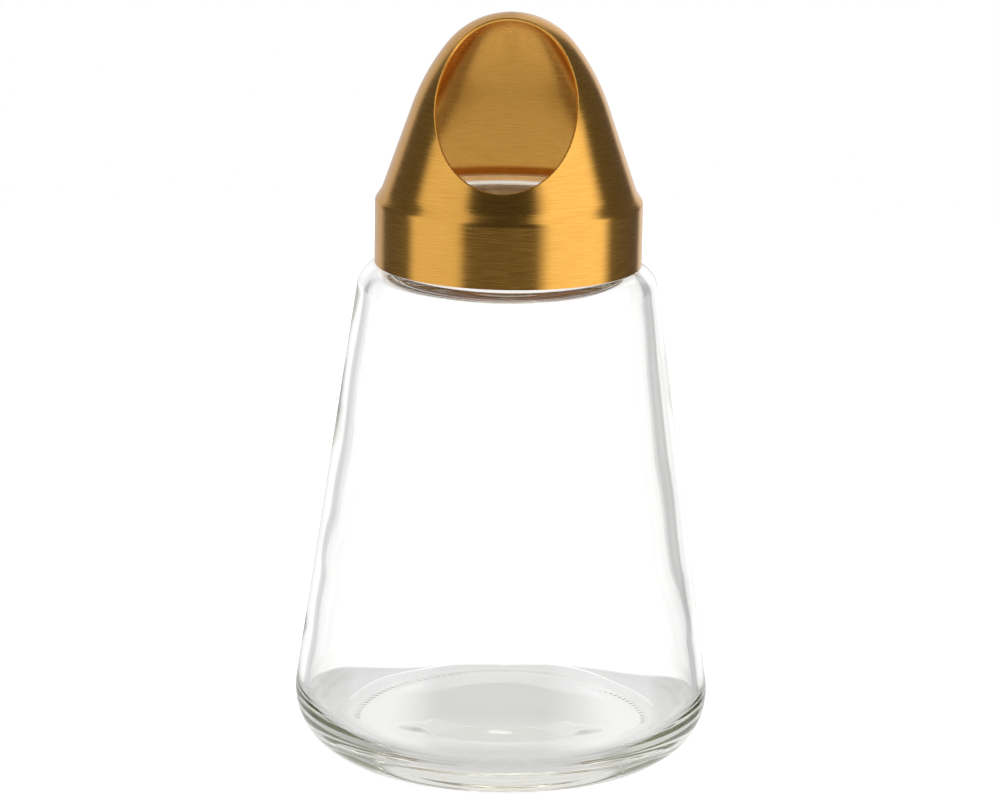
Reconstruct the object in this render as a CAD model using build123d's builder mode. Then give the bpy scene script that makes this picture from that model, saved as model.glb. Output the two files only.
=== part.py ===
from build123d import *
from math import asin, atan2, cos, degrees, hypot, radians, sin, sqrt, tan
import os

# Snack dispenser: a cone-shaped glass jar with a screw-on metal lid that has a slanted pouring mouth.
# Millimetres. +Z is up, z = 0 is the plane that the jar stands on, the jar's axis is the Z axis,
# and the mouth of the lid faces -Y when the lid is screwed down.

os.makedirs("parts", exist_ok=True)

# Glass jar, outside
jar_radius = 43.3
body_height = 102.9
bearing_radius = 31.6
bearing_width = 1.6
heel_height = 12.4
heel_blend = 11.4
shoulder_radius = 5.0
shoulder_flat = 2.09

# Glass jar, inside and underneath
flank_wall = 2.8
shoulder_wall = 2.8
floor_height = 5.9
floor_corner = 7.0
floor_ring_radius = 25.0
floor_ring_height = 6.5
swell_radius = 15.0
swell_height = 1.1
swell_blend = 20.0
shoulder_inner_round = 3.0
throat_round = 2.6
underside_recess = 0.15

# Knurl that keeps the bearing ring off a wet table
knurl_count = 120
knurl_width = 0.6
knurl_depth = 0.3
knurl_land = 0.4

# Jar neck and its moulded thread
neck_radius = 24.0
neck_wall = 2.0
neck_height = 12.4
neck_foot_round = 0.7
rim_round = 0.8
thread_lead = 25.4 / 6
thread_depth = 1.2
thread_root_width = 2.2
thread_flank_lean = 28.4
thread_below_rim = 2.6
thread_bite = 0.4

# Metal lid, outside
collar_gap = 0.5
sheet = 0.7
lid_height = 51.6
flare_lean = 33.0
flare_height = 2.15
cone_lean = 19.2
brow_radius = 44.5
brow_turn = 18.8
collar_round = 1.5
flare_round = 5.0

# Pouring mouth, punched about square to the sheet: an elliptical cone with its tip inside the lid
sill_above_flare = 3.65
mouth_top_reach = 4.2
mouth_half_width = 15.4
mouth_tip_depth = 26.0
mouth_tip_drop = 4.0
mouth_overrun = 1.5
mouth_edge_round = 0.15

# Thread insert pressed into the lid's collar
insert_wall = 1.3
insert_squeeze = 0.05
insert_recess = 0.6
insert_root_width = 2.0
insert_foot_margin = 1.2
thread_clearance = 0.3
flank_clearance = 0.15
ledge_thickness = 1.0
ledge_into_flare = 0.5
ledge_under_flare = 0.1
ledge_set_back = 1.1
bead_height = 0.4

# Sealing ring on the jar's rim
seal_thickness = 0.6
seal_set_back = 1.1
seal_overhang = 1.3
seal_side_gap = 0.25
seal_under_gap = 0.1

# Heights and radii that follow
rim_z = body_height + neck_height
bore_radius = neck_radius - neck_wall
bearing_inner_radius = bearing_radius - bearing_width
seal_inner_radius = bore_radius + seal_set_back
seal_outer_radius = neck_radius + seal_overhang
ledge_inner_radius = seal_inner_radius + ledge_set_back
ledge_bottom_z = rim_z + seal_thickness
ledge_top_z = ledge_bottom_z + ledge_thickness
insert_thread_radius = neck_radius + thread_depth + thread_clearance
collar_bore = insert_thread_radius + insert_wall
collar_radius = collar_bore + sheet
lid_bottom_z = body_height + collar_gap
lid_top_z = lid_bottom_z + lid_height
collar_top_z = ledge_top_z - ledge_into_flare
insert_bottom_z = lid_bottom_z + insert_recess

# The flank is the straight line that touches both the arc above the heel and the shoulder's arc
arc_run = (jar_radius - heel_blend) - (neck_radius + shoulder_flat)
arc_rise = (body_height - shoulder_radius) - heel_height
flank_lean = degrees(
    atan2(arc_run, arc_rise) + asin((heel_blend - shoulder_radius) / hypot(arc_run, arc_rise))
)
flank_foot_x = jar_radius - heel_blend * (1 - cos(radians(flank_lean)))
flank_foot_z = heel_height + heel_blend * sin(radians(flank_lean))
flank_top_z = body_height - shoulder_radius * (1 - sin(radians(flank_lean)))

# The insert's thread hangs under the jar's bead by the loaded flanks' clearance. Both run for as
# many turns as fit between the jar's rim and the insert's lower edge.
flank_slope = tan(radians(thread_flank_lean))
insert_drop = (
    (thread_root_width + insert_root_width) / 2
    - (insert_thread_radius - neck_radius) * flank_slope
    + flank_clearance * hypot(1, flank_slope)
)
insert_thread_z = insert_bottom_z + insert_foot_margin + insert_root_width / 2
jar_thread_z = insert_thread_z + insert_drop
thread_rise = rim_z - thread_below_rim - jar_thread_z


def inner_flank_radius(z):
    """Radius of the jar's inner wall at a height, if it ran straight past its corners."""
    outer = flank_foot_x - (z - flank_foot_z) * tan(radians(flank_lean))
    return outer - flank_wall / cos(radians(flank_lean))


def ridge_outline(root_width, outward):
    """Section of a thread ridge on a wall at x = 0, sunk a bite into it; outward is 1 or -1."""
    foot_half = root_width / 2 + thread_bite * flank_slope
    crest_half = root_width / 2 - thread_depth * flank_slope
    Polyline(
        (-thread_bite * outward, -foot_half),
        (thread_depth * outward, -crest_half),
        (thread_depth * outward, crest_half),
        (-thread_bite * outward, foot_half),
        close=True,
    )


def sunk_corner(corner, lean_below, lean_above, depth):
    """A corner of the lid's outline, moved so that both lines that meet there sink by a depth."""
    middle = radians((lean_below + lean_above) / 2)
    reach = depth / cos(radians((lean_above - lean_below) / 2))
    return (corner[0] - reach * cos(middle), corner[1] - reach * sin(middle))


def lid_outline(depth):
    """Half outline of everything that lies deeper than a depth under the lid's outer surface."""
    skirt = FilletPolyline(
        (collar_radius - depth, lid_bottom_z),
        sunk_corner(flare_foot, 0, flare_lean, depth),
        sunk_corner(flare_top, flare_lean, cone_lean, depth),
        sunk_corner(cone_top, cone_lean, cone_lean, depth),
        radius=[collar_round - depth, flare_round + depth],
    )
    JernArc(skirt @ 1, skirt % 1, brow_radius - depth, brow_turn)
    nose_start = cone_lean + brow_turn
    nose = CenterArc((0, nose_centre_z), nose_radius - depth, nose_start, 90 - nose_start)
    Polyline(nose @ 1, (0, lid_bottom_z), skirt @ 0)


# Lid outline: collar, flare, cone, brow arc and nose arc. The cone ends where the two arcs above it
# close on the axis exactly at the lid's height.
cone_angle = radians(cone_lean)
nose_angle = radians(cone_lean + brow_turn)
flare_foot = (collar_radius, collar_top_z)
flare_top_r = collar_radius - flare_height * tan(radians(flare_lean))
flare_top_z = collar_top_z + flare_height
nose_share = (1 - sin(nose_angle)) / cos(nose_angle)
brow_in = brow_radius * (cos(cone_angle) - cos(nose_angle))
brow_up = brow_radius * (sin(nose_angle) - sin(cone_angle))
cone_top_z = (
    lid_top_z - brow_up - nose_share * (flare_top_r + tan(cone_angle) * flare_top_z - brow_in)
) / (1 - nose_share * tan(cone_angle))
cone_top_r = flare_top_r - (cone_top_z - flare_top_z) * tan(cone_angle)
flare_top = (flare_top_r, flare_top_z)
cone_top = (cone_top_r, cone_top_z)
nose_radius = (cone_top_r - brow_in) / cos(nose_angle)
nose_centre_z = lid_top_z - nose_radius

# The mouth's ellipse runs from the sill on the cone to a point of the nose just in front of the axis.
# Its cutting cone goes through it from the tip, and on outwards by the overrun.
sill_z = flare_top_z + sill_above_flare
sill_r = flare_top_r - sill_above_flare * tan(cone_angle)
mouth_top_z = nose_centre_z + sqrt(nose_radius**2 - mouth_top_reach**2)
mouth_half_length = hypot(sill_r - mouth_top_reach, mouth_top_z - sill_z) / 2
mouth_centre = Vector(0, -(sill_r + mouth_top_reach) / 2, (sill_z + mouth_top_z) / 2)
mouth_along = Vector(0, sill_r - mouth_top_reach, mouth_top_z - sill_z).normalized()
mouth_plane = Plane(mouth_centre, x_dir=(1, 0, 0), z_dir=Vector(1, 0, 0).cross(mouth_along))
mouth_tip = mouth_plane.from_local_coords(Vector(0, -mouth_tip_drop, -mouth_tip_depth))

# Jar: one revolved wall with an elliptical heel, a straight leaning flank, a rounded shoulder,
# a narrower neck, a thick floor that swells a little in the middle and a slightly hollow underside
with BuildPart() as glass_jar:
    with BuildSketch(Plane.XZ):
        with BuildLine():
            heel = EllipticalCenterArc(
                (bearing_radius, heel_height), jar_radius - bearing_radius, heel_height, 270
            )
            heel_top = JernArc(heel @ 1, (0, 1), heel_blend, flank_lean)
            flank_length = (flank_top_z - flank_foot_z) / cos(radians(flank_lean))
            flank = PolarLine(heel_top @ 1, flank_length, 90 + flank_lean)
            shoulder = JernArc(flank @ 1, flank % 1, shoulder_radius, 90 - flank_lean)
            inner_shoulder_z = body_height - shoulder_wall
            swell_z = floor_ring_height + swell_height
            inside = FilletPolyline(
                shoulder @ 1,
                (neck_radius, body_height),
                (neck_radius, rim_z),
                (bore_radius, rim_z),
                (bore_radius, inner_shoulder_z),
                (inner_flank_radius(inner_shoulder_z), inner_shoulder_z),
                (inner_flank_radius(floor_height), floor_height),
                (floor_ring_radius, floor_ring_height),
                (swell_radius, swell_z),
                (0, swell_z),
                radius=[
                    neck_foot_round,
                    rim_round,
                    rim_round,
                    throat_round,
                    shoulder_inner_round,
                    floor_corner,
                    swell_blend,
                    swell_blend,
                ],
            )
            Polyline(
                inside @ 1,
                (0, underside_recess),
                (bearing_inner_radius, underside_recess),
                (bearing_inner_radius, 0),
                heel @ 0,
            )
        make_face()
    revolve(axis=Axis.Z)

    # Radial notches of the bearing ring, open to the hollow and stopped by a plain outer land
    with PolarLocations(bearing_radius - knurl_land - bearing_width / 2, knurl_count):
        Box(bearing_width, knurl_width, 2 * knurl_depth, mode=Mode.SUBTRACT)

    # Moulded thread bead around the neck
    with BuildLine():
        jar_helix = Helix(thread_lead, thread_rise, neck_radius, (0, 0, jar_thread_z))
    with BuildSketch(Plane(origin=jar_helix @ 0, x_dir=(1, 0, 0), z_dir=jar_helix % 0)):
        with BuildLine():
            ridge_outline(thread_root_width, 1)
        make_face()
    sweep(path=jar_helix, is_frenet=True)

glass_jar.part.label = "glass_jar"
export_step(glass_jar.part, "parts/glass_jar.step")

# Lid shell: one drawn sheet, revolved, with the mouth cut through it at a slant and its edges deburred
with BuildPart() as lid_shell:
    with BuildSketch(Plane.XZ):
        with BuildLine():
            lid_outline(0)
        make_face()
    revolve(axis=Axis.Z)
    with BuildSketch(Plane.XZ):
        with BuildLine():
            lid_outline(sheet)
        make_face()
    revolve(axis=Axis.Z, mode=Mode.SUBTRACT)
    mouth_reach = mouth_overrun * (mouth_centre - mouth_tip)
    mouth_outside = Plane(mouth_tip + mouth_reach, x_dir=(1, 0, 0), z_dir=mouth_plane.z_dir)
    with BuildSketch(mouth_outside) as mouth_outline:
        Ellipse(mouth_overrun * mouth_half_width, mouth_overrun * mouth_half_length)
    loft(sections=[mouth_outline.sketch.face(), Vertex(*mouth_tip)], mode=Mode.SUBTRACT)
    mouth_face = lid_shell.faces().filter_by(GeomType.BSPLINE)
    fillet(mouth_face.edges().filter_by(lambda edge: edge.length > 2 * sheet), mouth_edge_round)

lid_shell.part.label = "lid_shell"
export_step(lid_shell.part, "parts/lid_shell.step")

# Thread insert: a plastic ring pressed into the collar, with a ledge over the jar's rim, a groove
# that holds the sealing ring and an inner thread that runs under the jar's bead
with BuildPart() as thread_insert:
    insert_radius = collar_bore + insert_squeeze
    flare_inner_z = collar_top_z - sheet * tan(radians(flare_lean / 2)) - ledge_under_flare
    ledge_outer = insert_radius - (ledge_top_z - flare_inner_z) * tan(radians(flare_lean))
    groove_radius = seal_outer_radius + seal_side_gap
    bead_top_z = rim_z - seal_under_gap
    with BuildSketch(Plane.XZ):
        with BuildLine():
            Polyline(
                (insert_thread_radius, insert_bottom_z),
                (insert_radius, insert_bottom_z),
                (insert_radius, flare_inner_z),
                (ledge_outer, ledge_top_z),
                (ledge_inner_radius, ledge_top_z),
                (ledge_inner_radius, ledge_bottom_z),
                (groove_radius, ledge_bottom_z),
                (groove_radius, bead_top_z),
                (seal_outer_radius - seal_side_gap, bead_top_z - bead_height / 2),
                (insert_thread_radius, bead_top_z - bead_height),
                close=True,
            )
        make_face()
    revolve(axis=Axis.Z)

    # Inner thread of the same lead as the jar's bead
    with BuildLine():
        insert_start = (0, 0, insert_thread_z)
        insert_helix = Helix(thread_lead, thread_rise, insert_thread_radius, insert_start)
    with BuildSketch(Plane(origin=insert_helix @ 0, x_dir=(1, 0, 0), z_dir=insert_helix % 0)):
        with BuildLine():
            ridge_outline(insert_root_width, -1)
        make_face()
    sweep(path=insert_helix, is_frenet=True)

thread_insert.part.label = "thread_insert"
export_step(thread_insert.part, "parts/thread_insert.step")

# Sealing ring: a flat washer between the jar's rim and the insert's ledge
with BuildPart() as seal_ring:
    with BuildSketch(Plane.XY.offset(rim_z)):
        Circle(seal_outer_radius)
        Circle(seal_inner_radius, mode=Mode.SUBTRACT)
    extrude(amount=seal_thickness)

seal_ring.part.label = "seal_ring"
export_step(seal_ring.part, "parts/seal_ring.step")
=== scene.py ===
"""Snack dispenser: a cone-shaped glass jar with a screw-on brushed lid, in metres, Z up, mouth towards -Y."""

import math

import bmesh
import bpy
from mathutils import Matrix, Vector, noise


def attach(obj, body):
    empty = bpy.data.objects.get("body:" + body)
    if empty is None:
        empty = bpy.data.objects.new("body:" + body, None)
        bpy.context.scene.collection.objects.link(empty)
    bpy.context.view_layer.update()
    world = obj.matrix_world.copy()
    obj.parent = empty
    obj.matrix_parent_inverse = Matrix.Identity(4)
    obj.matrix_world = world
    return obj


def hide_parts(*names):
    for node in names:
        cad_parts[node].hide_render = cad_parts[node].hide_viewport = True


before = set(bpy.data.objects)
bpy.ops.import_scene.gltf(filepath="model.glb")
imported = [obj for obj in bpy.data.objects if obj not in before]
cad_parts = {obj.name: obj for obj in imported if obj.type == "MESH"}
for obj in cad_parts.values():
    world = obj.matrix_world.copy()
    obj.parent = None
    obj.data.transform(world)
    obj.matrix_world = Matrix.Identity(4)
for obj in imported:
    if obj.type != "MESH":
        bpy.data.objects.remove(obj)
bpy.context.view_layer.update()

MM = 0.001
# Two places closer than this, in millimetres, are the same
SAME = 0.01


def linear(hex_colour):
    """An sRGB hex colour as linear RGBA."""
    channels = [int(hex_colour[i : i + 2], 16) / 255 for i in (1, 3, 5)]
    return (*[c / 12.92 if c <= 0.04045 else ((c + 0.055) / 1.055) ** 2.4 for c in channels], 1.0)


def grey(level):
    """A linear brightness as RGBA."""
    return level, level, level, 1.0


def add_node(tree, kind, links=(), values=(), stops=(), **settings):
    """Adds a node with its properties, unlinked inputs and ramp stops, and joins sockets to its inputs."""
    node = tree.nodes.new(kind)
    for name, value in settings.items():
        setattr(node, name, value)
    for name, value in dict(values).items():
        node.inputs[name].default_value = value
    for name, socket in dict(links).items():
        tree.links.new(socket, node.inputs[name])
    if stops:
        ramp = node.color_ramp.elements
        ramp[0].position, ramp[-1].position = stops[0][0], stops[-1][0]
        for place, colour in stops[1:-1]:
            ramp.new(place).color = colour
        ramp[0].color, ramp[-1].color = stops[0][1], stops[-1][1]
    return node


def new_material(name):
    """An empty material with an output node."""
    material = bpy.data.materials.new(name)
    material.use_nodes = True
    material.node_tree.nodes.clear()
    return material, material.node_tree, add_node(material.node_tree, "ShaderNodeOutputMaterial")


def dress(piece, material):
    """Gives a piece one material and nothing else."""
    piece.data.materials.clear()
    piece.data.materials.append(material)


def place_mesh(mesh, name):
    """Puts a finished bmesh in the scene as an object at the origin."""
    data = bpy.data.meshes.new(name)
    mesh.to_mesh(data)
    mesh.free()
    piece = bpy.data.objects.new(name, data)
    bpy.context.scene.collection.objects.link(piece)
    return piece


# Jar sizes, in millimetres
JAR_RADIUS, BODY_HEIGHT, RIM_HEIGHT = 43.3, 102.9, 115.3
BEARING_RADIUS, BEARING_INNER_RADIUS = 31.6, 30.0
KNURL_LAND, KNURL_DEPTH = 0.4, 0.3
HEEL_HEIGHT, HEEL_BLEND = 12.4, 11.4
FLANK_LEAN = math.radians(8.17)
SHOULDER_RADIUS, SHOULDER_FLAT = 5.0, 2.09
NECK_RADIUS, BORE_RADIUS, BORE_RUN = 24.0, 22.0, 6.0
NECK_FOOT_ROUND, RIM_ROUND, THROAT_ROUND = 0.7, 0.8, 2.6
FLANK_WALL, SHOULDER_WALL, SHOULDER_INNER_ROUND = 2.8, 2.8, 3.0
FLOOR_HEIGHT, FLOOR_CORNER = 5.9, 7.0
THREAD_LEAD, THREAD_RISE, THREAD_START, THREAD_DEPTH = 25.4 / 6, 5.04, 107.66, 1.2
THREAD_ROOT, THREAD_CREST, THREAD_RUN_OUT = 2.2, 0.9, 0.5
# Corners of the underside and of the inner floor: distance from the axis, height, rounding
UNDERSIDE = ((0, 0.15, 0), (29.6, 0.15, 0), (30.0, 0, 0), (31.6, 0, 0))
INNER_FLOOR = ((33.1, 6.3, 1.5), (25, 6.5, 20), (15, 7.6, 20), (0, 7.7, 0))
# How finely the jar is drawn: twice the knurl's teeth round it, and steps of arcs and runs up it
JAR_SEGMENTS = 240
HEEL_STEPS, BLEND_STEPS, SHOULDER_STEPS = 24, 4, 14
FLANK_PITCH, NECK_PITCH = 3.0, 0.35
# The blown wall, in millimetres. Its inside stands further in than drawn: by this much, and this much more
# at the right side and less at the left
BULGE, BULGE_RIGHT = 0.95, 0.25
# The bulge starts and is full at these heights, and this much lower at the right
BULGE_START, BULGE_START_RIGHT, BULGE_FULL, BULGE_FULL_RIGHT = 33, 7, 46, 5
# Towards the shoulder it loses this much between these heights
SLIMMER, SLIMMER_START, SLIMMER_FULL = 0.45, 58, 90
# Waves of this height, this many round the jar and this long up it
RIPPLE, RIPPLE_ROUND, RIPPLE_LENGTH = 0.16, 1.3, 16
# Where the blown wall starts, where the waves are full, and how far below the shoulder's top it ends
BLOWN_START, RIPPLE_FULL, BLOWN_END = 18, 30, 1
# It fades out between these distances from the bore's wall, and the outside is left alone
BLOWN_FADE_START, BLOWN_FADE_END, OUTSIDE_SKIN = 2.6, 6.0, 2.0


def arc(centre, radius_x, radius_z, start, end, steps):
    """Points of an elliptical arc in the XZ plane, from one angle in degrees to another."""
    for i in range(steps + 1):
        angle = math.radians(start + (end - start) * i / steps)
        yield centre[0] + radius_x * math.cos(angle), centre[1] + radius_z * math.sin(angle)


def rounded(before, corner, after, radius, steps):
    """Points of the arc that rounds a corner between two straight runs."""
    corner = Vector(corner)
    to_before, to_after = (Vector(before) - corner).normalized(), (Vector(after) - corner).normalized()
    half = to_before.angle(to_after) / 2
    start, end = corner + to_before * radius / math.tan(half), corner + to_after * radius / math.tan(half)
    centre = corner + (to_before + to_after).normalized() * radius / math.sin(half)
    first, last = (start - centre).normalized(), (end - centre).normalized()
    for i in range(steps + 1):
        spoke = first.slerp(last, i / steps) * radius
        yield centre.x + spoke.x, centre.y + spoke.y


def path(corners, pitch=1.2, turn_pitch=6):
    """Points along a polyline with rounded corners, dense enough to shade smoothly."""
    places = [(x, z) for x, z, _ in corners]
    out = [places[0]]
    for i in range(1, len(corners)):
        if i < len(corners) - 1 and corners[i][2]:
            to_before = Vector(places[i - 1]) - Vector(places[i])
            to_after = Vector(places[i + 1]) - Vector(places[i])
            turn = 180 - math.degrees(to_before.angle(to_after))
            steps = max(3, round(turn / turn_pitch), round(math.radians(turn) * corners[i][2] / pitch))
            bend = list(rounded(places[i - 1], places[i], places[i + 1], corners[i][2], steps))
        else:
            bend = [places[i]]
        gap = (Vector(bend[0]) - Vector(out[-1])).length
        steps = max(1, round(gap / pitch))
        start = out[-1]
        out.extend(tuple(a + (b - a) * k / steps for a, b in zip(start, bend[0])) for k in range(1, steps))
        out.extend(bend)
    return out


def outer_flank(z):
    """Radius of the jar's leaning outside at a height."""
    return JAR_RADIUS - HEEL_BLEND * (1 - math.cos(FLANK_LEAN)) - (z - HEEL_HEIGHT) * math.tan(FLANK_LEAN)


def jar_profile():
    """Half outline of the jar's wall in millimetres, from the underside's centre round to the floor's."""
    lean = math.degrees(FLANK_LEAN)
    heel = list(arc(
        (BEARING_RADIUS, HEEL_HEIGHT), JAR_RADIUS - BEARING_RADIUS, HEEL_HEIGHT, 270, 360, HEEL_STEPS
    ))
    blend = list(arc((JAR_RADIUS - HEEL_BLEND, HEEL_HEIGHT), HEEL_BLEND, HEEL_BLEND, 0, lean, BLEND_STEPS))
    shoulder_centre = (NECK_RADIUS + SHOULDER_FLAT, BODY_HEIGHT - SHOULDER_RADIUS)
    shoulder = list(arc(shoulder_centre, SHOULDER_RADIUS, SHOULDER_RADIUS, lean, 90, SHOULDER_STEPS))
    flank = path([(*blend[-1], 0), (*shoulder[0], 0)], FLANK_PITCH)

    def inner_flank(z):
        wall = FLANK_WALL / math.cos(FLANK_LEAN)
        return blend[-1][0] - (z - blend[-1][1]) * math.tan(FLANK_LEAN) - wall

    neck = path([
        (*shoulder[-1], 0), (NECK_RADIUS, BODY_HEIGHT, NECK_FOOT_ROUND), (NECK_RADIUS, RIM_HEIGHT, RIM_ROUND),
        (BORE_RADIUS, RIM_HEIGHT, RIM_ROUND), (BORE_RADIUS, RIM_HEIGHT - BORE_RUN, 0),
    ], NECK_PITCH)
    throat_z = BODY_HEIGHT - SHOULDER_WALL
    inside = path([
        (*neck[-1], 0), (BORE_RADIUS, throat_z, THROAT_ROUND),
        (inner_flank(throat_z), throat_z, SHOULDER_INNER_ROUND),
        (inner_flank(FLOOR_HEIGHT), FLOOR_HEIGHT, FLOOR_CORNER), *INNER_FLOOR,
    ])
    return [*path(UNDERSIDE), *heel[1:], *blend[1:], *flank[1:], *shoulder[1:], *neck[1:], *inside[1:]]


def thread_height(angle, z):
    """How far the moulded thread bead stands out of the neck at a point, in millimetres."""
    along = angle / (2 * math.pi)
    best = 0.0
    for turn in (0, 1):
        share = (along + turn) * THREAD_LEAD / THREAD_RISE
        if share > 1:
            continue
        off = abs(z - THREAD_START - share * THREAD_RISE)
        fade = min(1.0, share * THREAD_RISE / THREAD_RUN_OUT, (1 - share) * THREAD_RISE / THREAD_RUN_OUT)
        flank = (THREAD_ROOT / 2 - off) / ((THREAD_ROOT - THREAD_CREST) / 2)
        best = max(best, THREAD_DEPTH * max(0.0, min(1.0, flank)) * fade)
    return best


def smooth_step(low, high, value):
    """0 below low, 1 above high and a smooth rise between."""
    share = max(0.0, min(1.0, (value - low) / (high - low)))
    return share * share * (3 - 2 * share)


def blown_bulge(angle, z):
    """How much thicker the blown wall is than its drawn thickness at a point inside, in millimetres."""
    right = math.cos(angle)
    thick = (BULGE + BULGE_RIGHT * right) * smooth_step(
        BULGE_START - BULGE_START_RIGHT * right, BULGE_FULL - BULGE_FULL_RIGHT * right, z
    )
    thinner = SLIMMER * smooth_step(SLIMMER_START, SLIMMER_FULL, z)
    ripple = RIPPLE * noise.noise(
        Vector((RIPPLE_ROUND * right, RIPPLE_ROUND * math.sin(angle), z / RIPPLE_LENGTH))
    )
    return thick - thinner + ripple * smooth_step(BLOWN_START, RIPPLE_FULL, z)


def make_jar():
    """The glass wall: one spun outline, then the neck's thread, the ring's knurl and a blown wall's waves."""
    mesh = bmesh.new()
    last = None
    for x, z in jar_profile():
        vert = mesh.verts.new((x * MM, 0, z * MM))
        if last:
            mesh.edges.new((last, vert))
        last = vert
    bmesh.ops.spin(
        mesh, geom=mesh.verts[:] + mesh.edges[:], cent=(0, 0, 0), axis=(0, 0, 1),
        angle=2 * math.pi, steps=JAR_SEGMENTS, use_merge=True, use_normal_flip=False, use_duplicate=False,
    )
    bmesh.ops.remove_doubles(mesh, verts=mesh.verts, dist=0.0005 * MM)
    bmesh.ops.recalc_face_normals(mesh, faces=mesh.faces)
    for vert in mesh.verts:
        x, y, z = vert.co / MM
        radius, angle = math.hypot(x, y), math.atan2(y, x) % (2 * math.pi)
        if abs(radius - NECK_RADIUS) < SAME and BODY_HEIGHT < z < RIM_HEIGHT:
            grown = radius + thread_height(angle, z)
            vert.co.x, vert.co.y = x * grown / radius * MM, y * grown / radius * MM
        if BLOWN_START < z < BODY_HEIGHT - BLOWN_END and radius < outer_flank(z) - OUTSIDE_SKIN:
            fade = smooth_step(BORE_RADIUS + BLOWN_FADE_START, BORE_RADIUS + BLOWN_FADE_END, radius)
            slim = radius - blown_bulge(angle, z) * fade
            vert.co.x, vert.co.y = x * slim / radius * MM, y * slim / radius * MM
        column = round(angle / (2 * math.pi) * JAR_SEGMENTS)
        on_ring = BEARING_INNER_RADIUS - KNURL_LAND < radius < BEARING_RADIUS - KNURL_LAND
        if z < SAME and on_ring and column % 2:
            vert.co.z += KNURL_DEPTH * MM
    piece = place_mesh(mesh, "jar_wall")
    for face in piece.data.polygons:
        face.use_smooth = True
    return piece


def brushed_gold():
    """Steel brushed round the lid's axis under a gold-coloured vacuum coating: long vertical highlights."""
    material, tree, output = new_material("brushed_gold_coated_steel")
    place = add_node(tree, "ShaderNodeTexCoord").outputs["Object"]
    axes = add_node(tree, "ShaderNodeSeparateXYZ", {"Vector": place})
    across = add_node(tree, "ShaderNodeVectorMath", {0: place}, {1: (1, 1, 0)}, operation="MULTIPLY")
    radius = add_node(tree, "ShaderNodeVectorMath", {0: across.outputs[0]}, operation="LENGTH")
    angle = add_node(
        tree, "ShaderNodeMath", {0: axes.outputs["Y"], 1: axes.outputs["X"]}, operation="ARCTAN2"
    )
    # Scratches are long round the axis and 0.1 to 0.3 mm apart across it (5200 per metre), which is coarser
    # than 180 grit leaves them, so that they show
    slow_angle = add_node(tree, "ShaderNodeMath", {0: angle.outputs[0]}, {1: 0.0009}, operation="MULTIPLY")
    lay = add_node(
        tree, "ShaderNodeCombineXYZ",
        {"X": radius.outputs["Value"], "Y": slow_angle.outputs[0], "Z": axes.outputs["Z"]},
    )
    scratches = add_node(
        tree, "ShaderNodeTexNoise", {"Vector": lay.outputs[0]}, {"Scale": 5200, "Detail": 3, "Roughness": 0.6}
    ).outputs["Fac"]
    shade = add_node(
        tree, "ShaderNodeValToRGB", {"Fac": scratches},
        stops=((0.3, linear("#DCA147")), (0.7, linear("#F0B65C"))),
    )
    gloss = add_node(
        tree, "ShaderNodeMapRange", {"Value": scratches},
        {"From Min": 0.3, "From Max": 0.7, "To Min": 0.2, "To Max": 0.28},
    )
    bump = add_node(
        tree, "ShaderNodeBump", {"Height": scratches}, {"Strength": 0.08, "Distance": 0.02 * MM}
    )
    tangent = add_node(tree, "ShaderNodeTangent", direction_type="RADIAL", axis="Z")
    shader = add_node(
        tree, "ShaderNodeBsdfPrincipled",
        {
            "Base Color": shade.outputs["Color"],
            "Roughness": gloss.outputs["Result"],
            "Normal": bump.outputs["Normal"],
            "Tangent": tangent.outputs["Tangent"],
        },
        {"Metallic": 1.0, "Anisotropic": 0.8, "Anisotropic Rotation": 0.25},
    )
    tree.links.new(shader.outputs["BSDF"], output.inputs["Surface"])
    return material


def clear_glass():
    """Blown soda-lime glass, fire polished: clear, with the faint green of iron where it is thick."""
    material, tree, output = new_material("clear_soda_lime_glass")
    shader = add_node(
        tree, "ShaderNodeBsdfPrincipled", (),
        {"Base Color": grey(1), "Roughness": 0.0, "IOR": 1.52, "Transmission Weight": 1.0},
    )
    iron = add_node(tree, "ShaderNodeVolumeAbsorption", (), {"Color": linear("#D9DAC4"), "Density": 6.0})
    tree.links.new(shader.outputs["BSDF"], output.inputs["Surface"])
    tree.links.new(iron.outputs["Volume"], output.inputs["Volume"])
    return material


def tan_polypropylene():
    """Polypropylene coloured tan, which paints in the gold light the lid throws on a paler plastic: slightly
    cloudy colour under a soft satin surface.
    """
    material, tree, output = new_material("tan_polypropylene")
    place = add_node(tree, "ShaderNodeTexCoord").outputs["Object"]
    # Clouds of pigment 2.5 mm across: 400 per metre
    cloud = add_node(
        tree, "ShaderNodeTexNoise", {"Vector": place}, {"Scale": 400, "Detail": 4}
    ).outputs["Fac"]
    satin = add_node(tree, "ShaderNodeMapRange", {"Value": cloud}, {"To Min": 0.35, "To Max": 0.5})
    tan = add_node(
        tree, "ShaderNodeValToRGB", {"Fac": cloud},
        stops=((0.3, linear("#BE9560")), (0.7, linear("#CBA470"))),
    )
    shader = add_node(
        tree, "ShaderNodeBsdfPrincipled",
        {"Base Color": tan.outputs["Color"], "Roughness": satin.outputs["Result"]}, {"IOR": 1.49},
    )
    tree.links.new(shader.outputs["BSDF"], output.inputs["Surface"])
    return material


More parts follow.
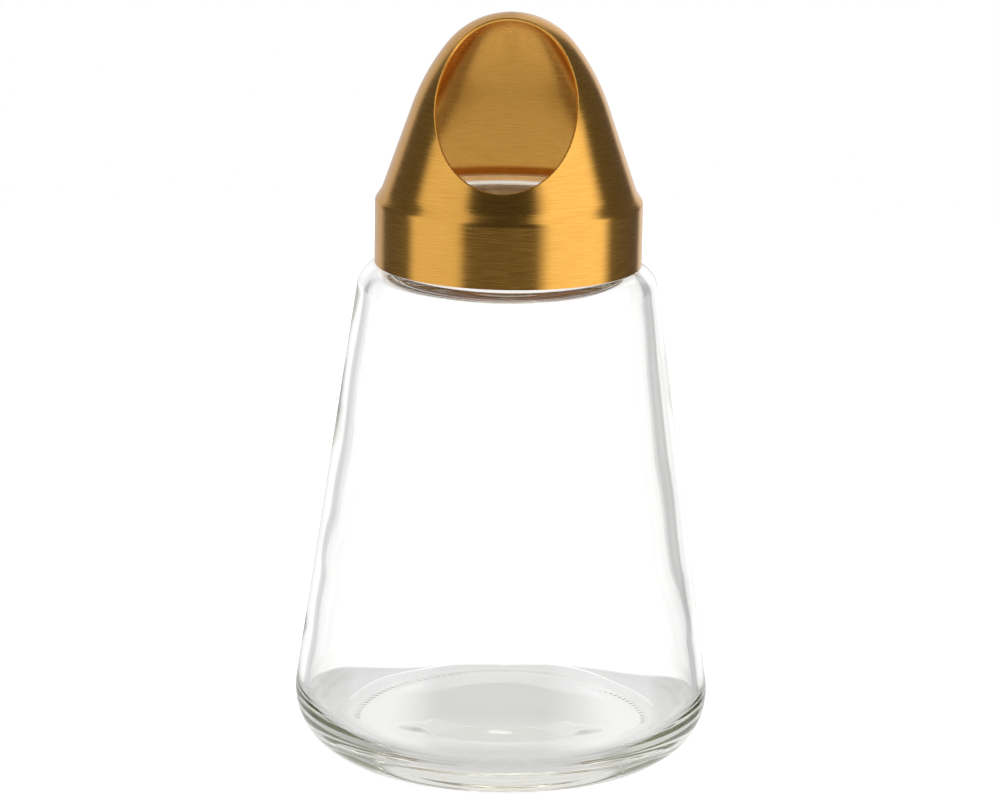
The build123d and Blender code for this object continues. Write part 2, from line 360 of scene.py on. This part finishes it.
def milky_silicone():
    """Silicone rubber, cut from sheet: milky and slightly soft in its shine."""
    material, tree, output = new_material("milky_silicone_rubber")
    place = add_node(tree, "ShaderNodeTexCoord").outputs["Object"]
    # The sheet's matt patches are 1.1 mm across: 900 per metre
    cloud = add_node(
        tree, "ShaderNodeTexNoise", {"Vector": place}, {"Scale": 900, "Detail": 3}
    ).outputs["Fac"]
    matt = add_node(tree, "ShaderNodeMapRange", {"Value": cloud}, {"To Min": 0.5, "To Max": 0.65})
    shader = add_node(
        tree, "ShaderNodeBsdfPrincipled", {"Roughness": matt.outputs["Result"]},
        {
            "Base Color": linear("#F2EEE2"), "IOR": 1.41, "Subsurface Weight": 0.4,
            "Subsurface Radius": (0.9, 0.8, 0.7), "Subsurface Scale": 1 * MM,
        },
    )
    tree.links.new(shader.outputs["BSDF"], output.inputs["Surface"])
    return material


CAMERA_AZIMUTH, CAMERA_ELEVATION = math.radians(3.8), math.radians(13.752)
CAMERA_DISTANCE, CAMERA_ROLL = 0.8, math.radians(0.963)
CAMERA_AIM = Vector((0, 0, 0.0775))
SENSOR_WIDTH, LENS = 36.0, 138.893
SHIFT_X, SHIFT_Y = -0.006, -0.016
# Brightness of the room by direction round the object: 0 degrees towards the camera, positive right.
# The first list is what the metal reflects, the second what shows through the glass.
ROOM_IN_METAL = (
    (-180, 0.5), (-141, 0.5), (-133, 0.09), (-96, 0.09), (-88, 0.74), (-44, 0.7), (-36, 0.05),
    (24, 0.05), (36, 1.0), (88, 1.05), (98, 0.09), (146, 0.09), (154, 0.65), (180, 0.65),
)
ROOM_THROUGH_GLASS = (
    (-180, 0.95), (-153, 0.92), (-149, 0.52), (-145, 0.52), (-138, 0.75), (-46, 0.85), (-34, 0.6),
    (26, 0.6), (38, 0.85), (102, 0.8), (112, 0.6), (144, 0.5), (149, 0.42), (153, 0.9), (180, 0.95),
)
ROOM_LEVEL = 1.3
# The softboxes reach this much further round above this rise of a ray
HIGH_FROM, HIGH_TO, HIGH_WIDER = 0.5, 0.75, 0.09
# Gloss that looks steeply down sees the white table, from this fall of a ray to this one (sines)
TABLE_FALL_FROM, TABLE_FALL_TO, TABLE_IN_GLOSS = -0.34, -0.48, 0.7
# Through the glass the backdrop gets darker with the rise of a ray (sine), most of all overhead
BACKDROP_BY_RISE = ((0.0, 1.0), (0.03, 1.0), (0.15, 0.72), (0.77, 0.72), (0.88, 0.33))


def make_room():
    """World light: a dark camera side between two tall softboxes, and a white backdrop behind."""
    world = bpy.data.worlds.new("photo_room")
    bpy.context.scene.world = world
    world.use_nodes = True
    tree = world.node_tree
    tree.nodes.clear()
    output = add_node(tree, "ShaderNodeOutputWorld")
    way = add_node(tree, "ShaderNodeTexCoord").outputs["Generated"]
    axes = add_node(tree, "ShaderNodeSeparateXYZ", {"Vector": way})
    front = add_node(tree, "ShaderNodeMath", {0: axes.outputs["Y"]}, {1: -1}, operation="MULTIPLY")
    turn = add_node(
        tree, "ShaderNodeMath", {0: axes.outputs["X"], 1: front.outputs[0]}, operation="ARCTAN2"
    )
    squeeze = add_node(
        tree, "ShaderNodeMapRange", {"Value": axes.outputs["Z"]},
        {"From Min": HIGH_FROM, "From Max": HIGH_TO, "To Min": 1.0, "To Max": 1.0 - HIGH_WIDER},
    )
    bearing = add_node(
        tree, "ShaderNodeMath", {0: turn.outputs[0], 1: squeeze.outputs["Result"]}, operation="MULTIPLY"
    )
    share = add_node(
        tree, "ShaderNodeMapRange", {"Value": bearing.outputs[0]},
        {"From Min": CAMERA_AZIMUTH - math.pi, "From Max": CAMERA_AZIMUTH + math.pi},
    ).outputs["Result"]
    in_metal, through_glass = [
        add_node(
            tree, "ShaderNodeValToRGB", {"Fac": share},
            stops=[((degrees + 180) / 360, grey(level)) for degrees, level in room],
        ).outputs["Color"]
        for room in (ROOM_IN_METAL, ROOM_THROUGH_GLASS)
    ]
    rise = add_node(
        tree, "ShaderNodeValToRGB", {"Fac": axes.outputs["Z"]},
        stops=[(place, grey(level)) for place, level in BACKDROP_BY_RISE],
    )
    backdrop = add_node(
        tree, "ShaderNodeVectorMath", {0: through_glass, 1: rise.outputs["Color"]}, operation="MULTIPLY"
    )
    down = add_node(
        tree, "ShaderNodeMapRange", {"Value": axes.outputs["Z"]},
        {"From Min": TABLE_FALL_FROM, "From Max": TABLE_FALL_TO},
    )
    mirrored = add_node(
        tree, "ShaderNodeMix", {"Factor": down.outputs["Result"], "A": in_metal},
        {"B": grey(TABLE_IN_GLOSS)}, data_type="RGBA",
    )
    ray = add_node(tree, "ShaderNodeLightPath")
    seen = add_node(
        tree, "ShaderNodeMix",
        {
            "Factor": ray.outputs["Is Transmission Ray"],
            "A": mirrored.outputs["Result"], "B": backdrop.outputs["Vector"],
        },
        data_type="RGBA",
    )
    light = add_node(
        tree, "ShaderNodeBackground", {"Color": seen.outputs["Result"]}, {"Strength": ROOM_LEVEL}
    )
    white = add_node(tree, "ShaderNodeBackground", (), {"Color": grey(1), "Strength": 1.0})
    mix = add_node(
        tree, "ShaderNodeMixShader",
        {0: ray.outputs["Is Camera Ray"], 1: light.outputs[0], 2: white.outputs[0]},
    )
    tree.links.new(mix.outputs[0], output.inputs["Surface"])


# The white table seen through the glass, painted with light and shade: brightness by distance in front of the
# jar's axis in metres, down the middle where a painted shadow of the lid falls, and by distance from the axis
# at the sides, where a painted pool of light lies under the jar
TABLE_MIDDLE = (
    (-0.031, 0.72), (-0.025, 0.64), (0.0, 0.64), (0.006, 0.72), (0.012, 0.84), (0.02, 0.88), (0.026, 0.7),
    (0.038, 0.6),
)
TABLE_SIDES = ((0.0, 0.97), (0.029, 0.94), (0.033, 0.78), (0.045, 0.74))
# The ramps of both lists run from this far on one side to this far on the other
TABLE_REACH = 0.06
# Painted shade darkens the sides in front of this distance
FRONT_FROM, FRONT_TO, FRONT_SHADE = 0.02, 0.03, 0.82
# Half width and soft edge of the painted shadow of the lid down the middle
SHADOW_HALF_WIDTH, SHADOW_SOFTNESS = 0.018, 0.006
# How far behind the axis its back edge lies, and half the depth over which it rounds off
TABLE_EDGE, EDGE_SOFTNESS = 0.0365, 0.001
# The table's own brightness where it is seen past the jar, which burns out to white
TABLE_COLOUR, TABLE_GLOW = 0.8, 0.75
TABLE_RADIUS, TABLE_SEGMENTS, TABLE_DROP = 0.6, 96, 0.05 * MM


def make_floor():
    """White table top, light grey through the glass up to its back edge, with painted soft shade and light
    under the jar.
    """
    material, tree, output = new_material("white_table_top")
    ray = add_node(tree, "ShaderNodeLightPath")
    lit = add_node(tree, "ShaderNodeBsdfDiffuse", (), {"Color": grey(TABLE_COLOUR)})
    glow = add_node(tree, "ShaderNodeEmission", (), {"Color": grey(1), "Strength": TABLE_GLOW})
    both = add_node(tree, "ShaderNodeAddShader", {0: lit.outputs[0], 1: glow.outputs[0]})
    place = add_node(tree, "ShaderNodeTexCoord").outputs["Object"]
    turned = add_node(
        tree, "ShaderNodeVectorRotate", {"Vector": place}, {"Angle": -CAMERA_AZIMUTH}, rotation_type="Z_AXIS"
    ).outputs["Vector"]
    axes = add_node(tree, "ShaderNodeSeparateXYZ", {"Vector": turned})
    front = add_node(
        tree, "ShaderNodeMapRange", {"Value": axes.outputs["Y"]},
        {"From Min": TABLE_REACH, "From Max": -TABLE_REACH},
    )
    radius = add_node(tree, "ShaderNodeVectorMath", {0: turned}, operation="LENGTH")
    outward = add_node(
        tree, "ShaderNodeMapRange", {"Value": radius.outputs["Value"]},
        {"From Min": -TABLE_REACH, "From Max": TABLE_REACH},
    )
    middle, side = [
        add_node(
            tree, "ShaderNodeValToRGB", {"Fac": share.outputs["Result"]},
            stops=[((far + TABLE_REACH) / (2 * TABLE_REACH), grey(level)) for far, level in levels],
        ).outputs["Color"]
        for share, levels in ((front, TABLE_MIDDLE), (outward, TABLE_SIDES))
    ]
    aside = add_node(tree, "ShaderNodeMath", {0: axes.outputs["X"]}, operation="ABSOLUTE")
    clear = add_node(
        tree, "ShaderNodeMapRange", {"Value": aside.outputs[0]},
        {"From Min": SHADOW_HALF_WIDTH - SHADOW_SOFTNESS, "From Max": SHADOW_HALF_WIDTH + SHADOW_SOFTNESS},
        interpolation_type="SMOOTHSTEP",
    )
    near = add_node(
        tree, "ShaderNodeMapRange", {"Value": axes.outputs["Y"]},
        {"From Min": -FRONT_FROM, "From Max": -FRONT_TO, "To Min": 1.0, "To Max": FRONT_SHADE},
    )
    shaded = add_node(
        tree, "ShaderNodeVectorMath", {0: side, "Scale": near.outputs["Result"]}, operation="SCALE"
    )
    top = add_node(
        tree, "ShaderNodeMix",
        {"Factor": clear.outputs["Result"], "A": middle, "B": shaded.outputs["Vector"]}, data_type="RGBA",
    )
    behind = add_node(
        tree, "ShaderNodeMapRange", {"Value": axes.outputs["Y"]},
        {"From Min": TABLE_EDGE - EDGE_SOFTNESS, "From Max": TABLE_EDGE + EDGE_SOFTNESS},
    )
    # Through the glass the table glows with this painted light and shade instead of taking the lamps' light
    painted_light_and_shade = add_node(tree, "ShaderNodeEmission", {"Color": top.outputs["Result"]}, {"Strength": 1.0})
    backdrop = add_node(tree, "ShaderNodeBsdfTransparent")
    through = add_node(
        tree, "ShaderNodeMixShader", {0: behind.outputs[0], 1: painted_light_and_shade.outputs[0], 2: backdrop.outputs[0]}
    )
    mix = add_node(
        tree, "ShaderNodeMixShader",
        {0: ray.outputs["Is Transmission Ray"], 1: both.outputs[0], 2: through.outputs[0]},
    )
    tree.links.new(mix.outputs[0], output.inputs["Surface"])
    mesh = bmesh.new()
    bmesh.ops.create_circle(mesh, cap_ends=True, radius=TABLE_RADIUS, segments=TABLE_SEGMENTS)
    bmesh.ops.translate(mesh, verts=mesh.verts, vec=(0, 0, -TABLE_DROP))
    floor = place_mesh(mesh, "table_top")
    dress(floor, material)
    floor.visible_glossy = False


def camera_side(elevation):
    """The direction from the object towards the camera's side, at an elevation."""
    level = math.cos(elevation)
    return Vector((
        math.sin(CAMERA_AZIMUTH) * level, -math.cos(CAMERA_AZIMUTH) * level, math.sin(elevation),
    ))


LAMP_AIM, LAMP_DISTANCE, LAMP_ELEVATION = Vector((0, 0.022, 0.117)), 0.6, math.radians(30)
LAMP_SIZE, LAMP_POWER = 0.12, 3.0


def make_lamp():
    """A small soft lamp above the camera, whose light falls through the mouth onto insert and seal."""
    data = bpy.data.lights.new("mouth_lamp", "AREA")
    data.shape, data.size, data.energy = "DISK", LAMP_SIZE, LAMP_POWER
    lamp = bpy.data.objects.new("mouth_lamp", data)
    bpy.context.scene.collection.objects.link(lamp)
    lamp.visible_glossy = False
    back = camera_side(LAMP_ELEVATION)
    turned = back.to_track_quat("Z", "Y").to_matrix().to_4x4()
    lamp.matrix_world = Matrix.Translation(LAMP_AIM + back * LAMP_DISTANCE) @ turned


def make_camera():
    """A long lens a little above the lid, turned a little to the right and rolled under a degree."""
    data = bpy.data.cameras.new("camera")
    data.sensor_width, data.lens = SENSOR_WIDTH, LENS
    data.shift_x, data.shift_y = SHIFT_X, SHIFT_Y
    camera = bpy.data.objects.new("camera", data)
    bpy.context.scene.collection.objects.link(camera)
    bpy.context.scene.camera = camera
    back = camera_side(CAMERA_ELEVATION)
    right = Vector((math.cos(CAMERA_AZIMUTH), math.sin(CAMERA_AZIMUTH), 0))
    up = back.cross(right)
    rolled_right = right * math.cos(CAMERA_ROLL) + up * math.sin(CAMERA_ROLL)
    rolled_up = up * math.cos(CAMERA_ROLL) - right * math.sin(CAMERA_ROLL)
    turned = Matrix((rolled_right, rolled_up, back)).transposed().to_4x4()
    camera.matrix_world = Matrix.Translation(CAMERA_AIM + back * CAMERA_DISTANCE) @ turned


jar = make_jar()
dress(jar, clear_glass())
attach(jar, "jar")
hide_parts("glass_jar")

dress(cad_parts["lid_shell"], brushed_gold())
dress(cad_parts["thread_insert"], tan_polypropylene())
dress(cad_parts["seal_ring"], milky_silicone())

make_room()
make_floor()
make_lamp()
make_camera()
bpy.context.scene.view_settings.view_transform = "Standard"
# Light turns many times inside the thick glass of the heel before it gets out
cycles = bpy.context.scene.cycles
cycles.max_bounces, cycles.glossy_bounces, cycles.transmission_bounces = 96, 96, 96
